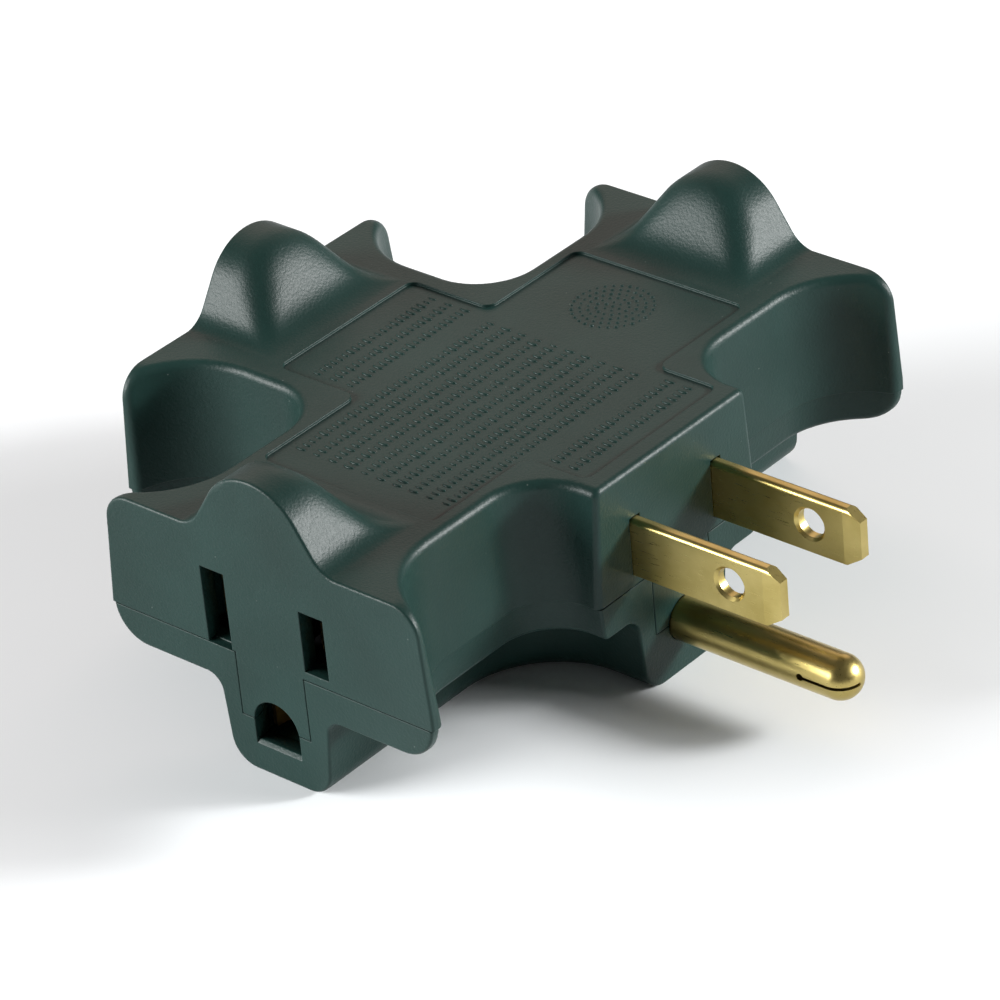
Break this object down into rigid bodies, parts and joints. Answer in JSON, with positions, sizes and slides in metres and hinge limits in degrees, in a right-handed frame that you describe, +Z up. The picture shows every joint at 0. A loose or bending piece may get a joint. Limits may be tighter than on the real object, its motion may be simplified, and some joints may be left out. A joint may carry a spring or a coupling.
{
  "type": "three-outlet plug adapter",
  "caption": "Cross-shaped moulded plug adapter: a grounded plug on one arm and a flared, humped outlet on each other arm.",
  "frame": {"origin": "centre of the flat plug face, midway between the two flat blades, at the blades' mid-height", "axes": "+X the way the blades point, out of the plug face; +Z up, away from the ground pin; +Y by the right hand"},
  "size_m": [0.077, 0.0746, 0.0341],
  "materials": {
    "housing": "dark green moulded vinyl, finely textured with a soft sheen",
    "brass": "stamped sheet brass, lightly brushed",
    "rivet": "plain brass rivets",
    "fibre": "grey-black insulating fibre sheet"
  },
  "bodies": {
    "root": {"upper_housing": "housing", "lower_housing": "housing", "divider_sheet": "fibre", "neutral_blade": "brass", "hot_blade": "brass", "ground_pin": "brass", "neutral_strip": "brass", "hot_strip": "brass", "ground_strip": "brass", "front_neutral_contact": "brass", "front_hot_contact": "brass", "front_ground_contact": "brass", "rear_neutral_contact": "brass", "rear_hot_contact": "brass", "rear_ground_contact": "brass", "end_neutral_contact": "brass", "end_hot_contact": "brass", "end_ground_contact": "brass", "neutral_rivets": "rivet", "hot_rivets": "rivet", "ground_rivets": "rivet"}
  },
  "joints": []
}
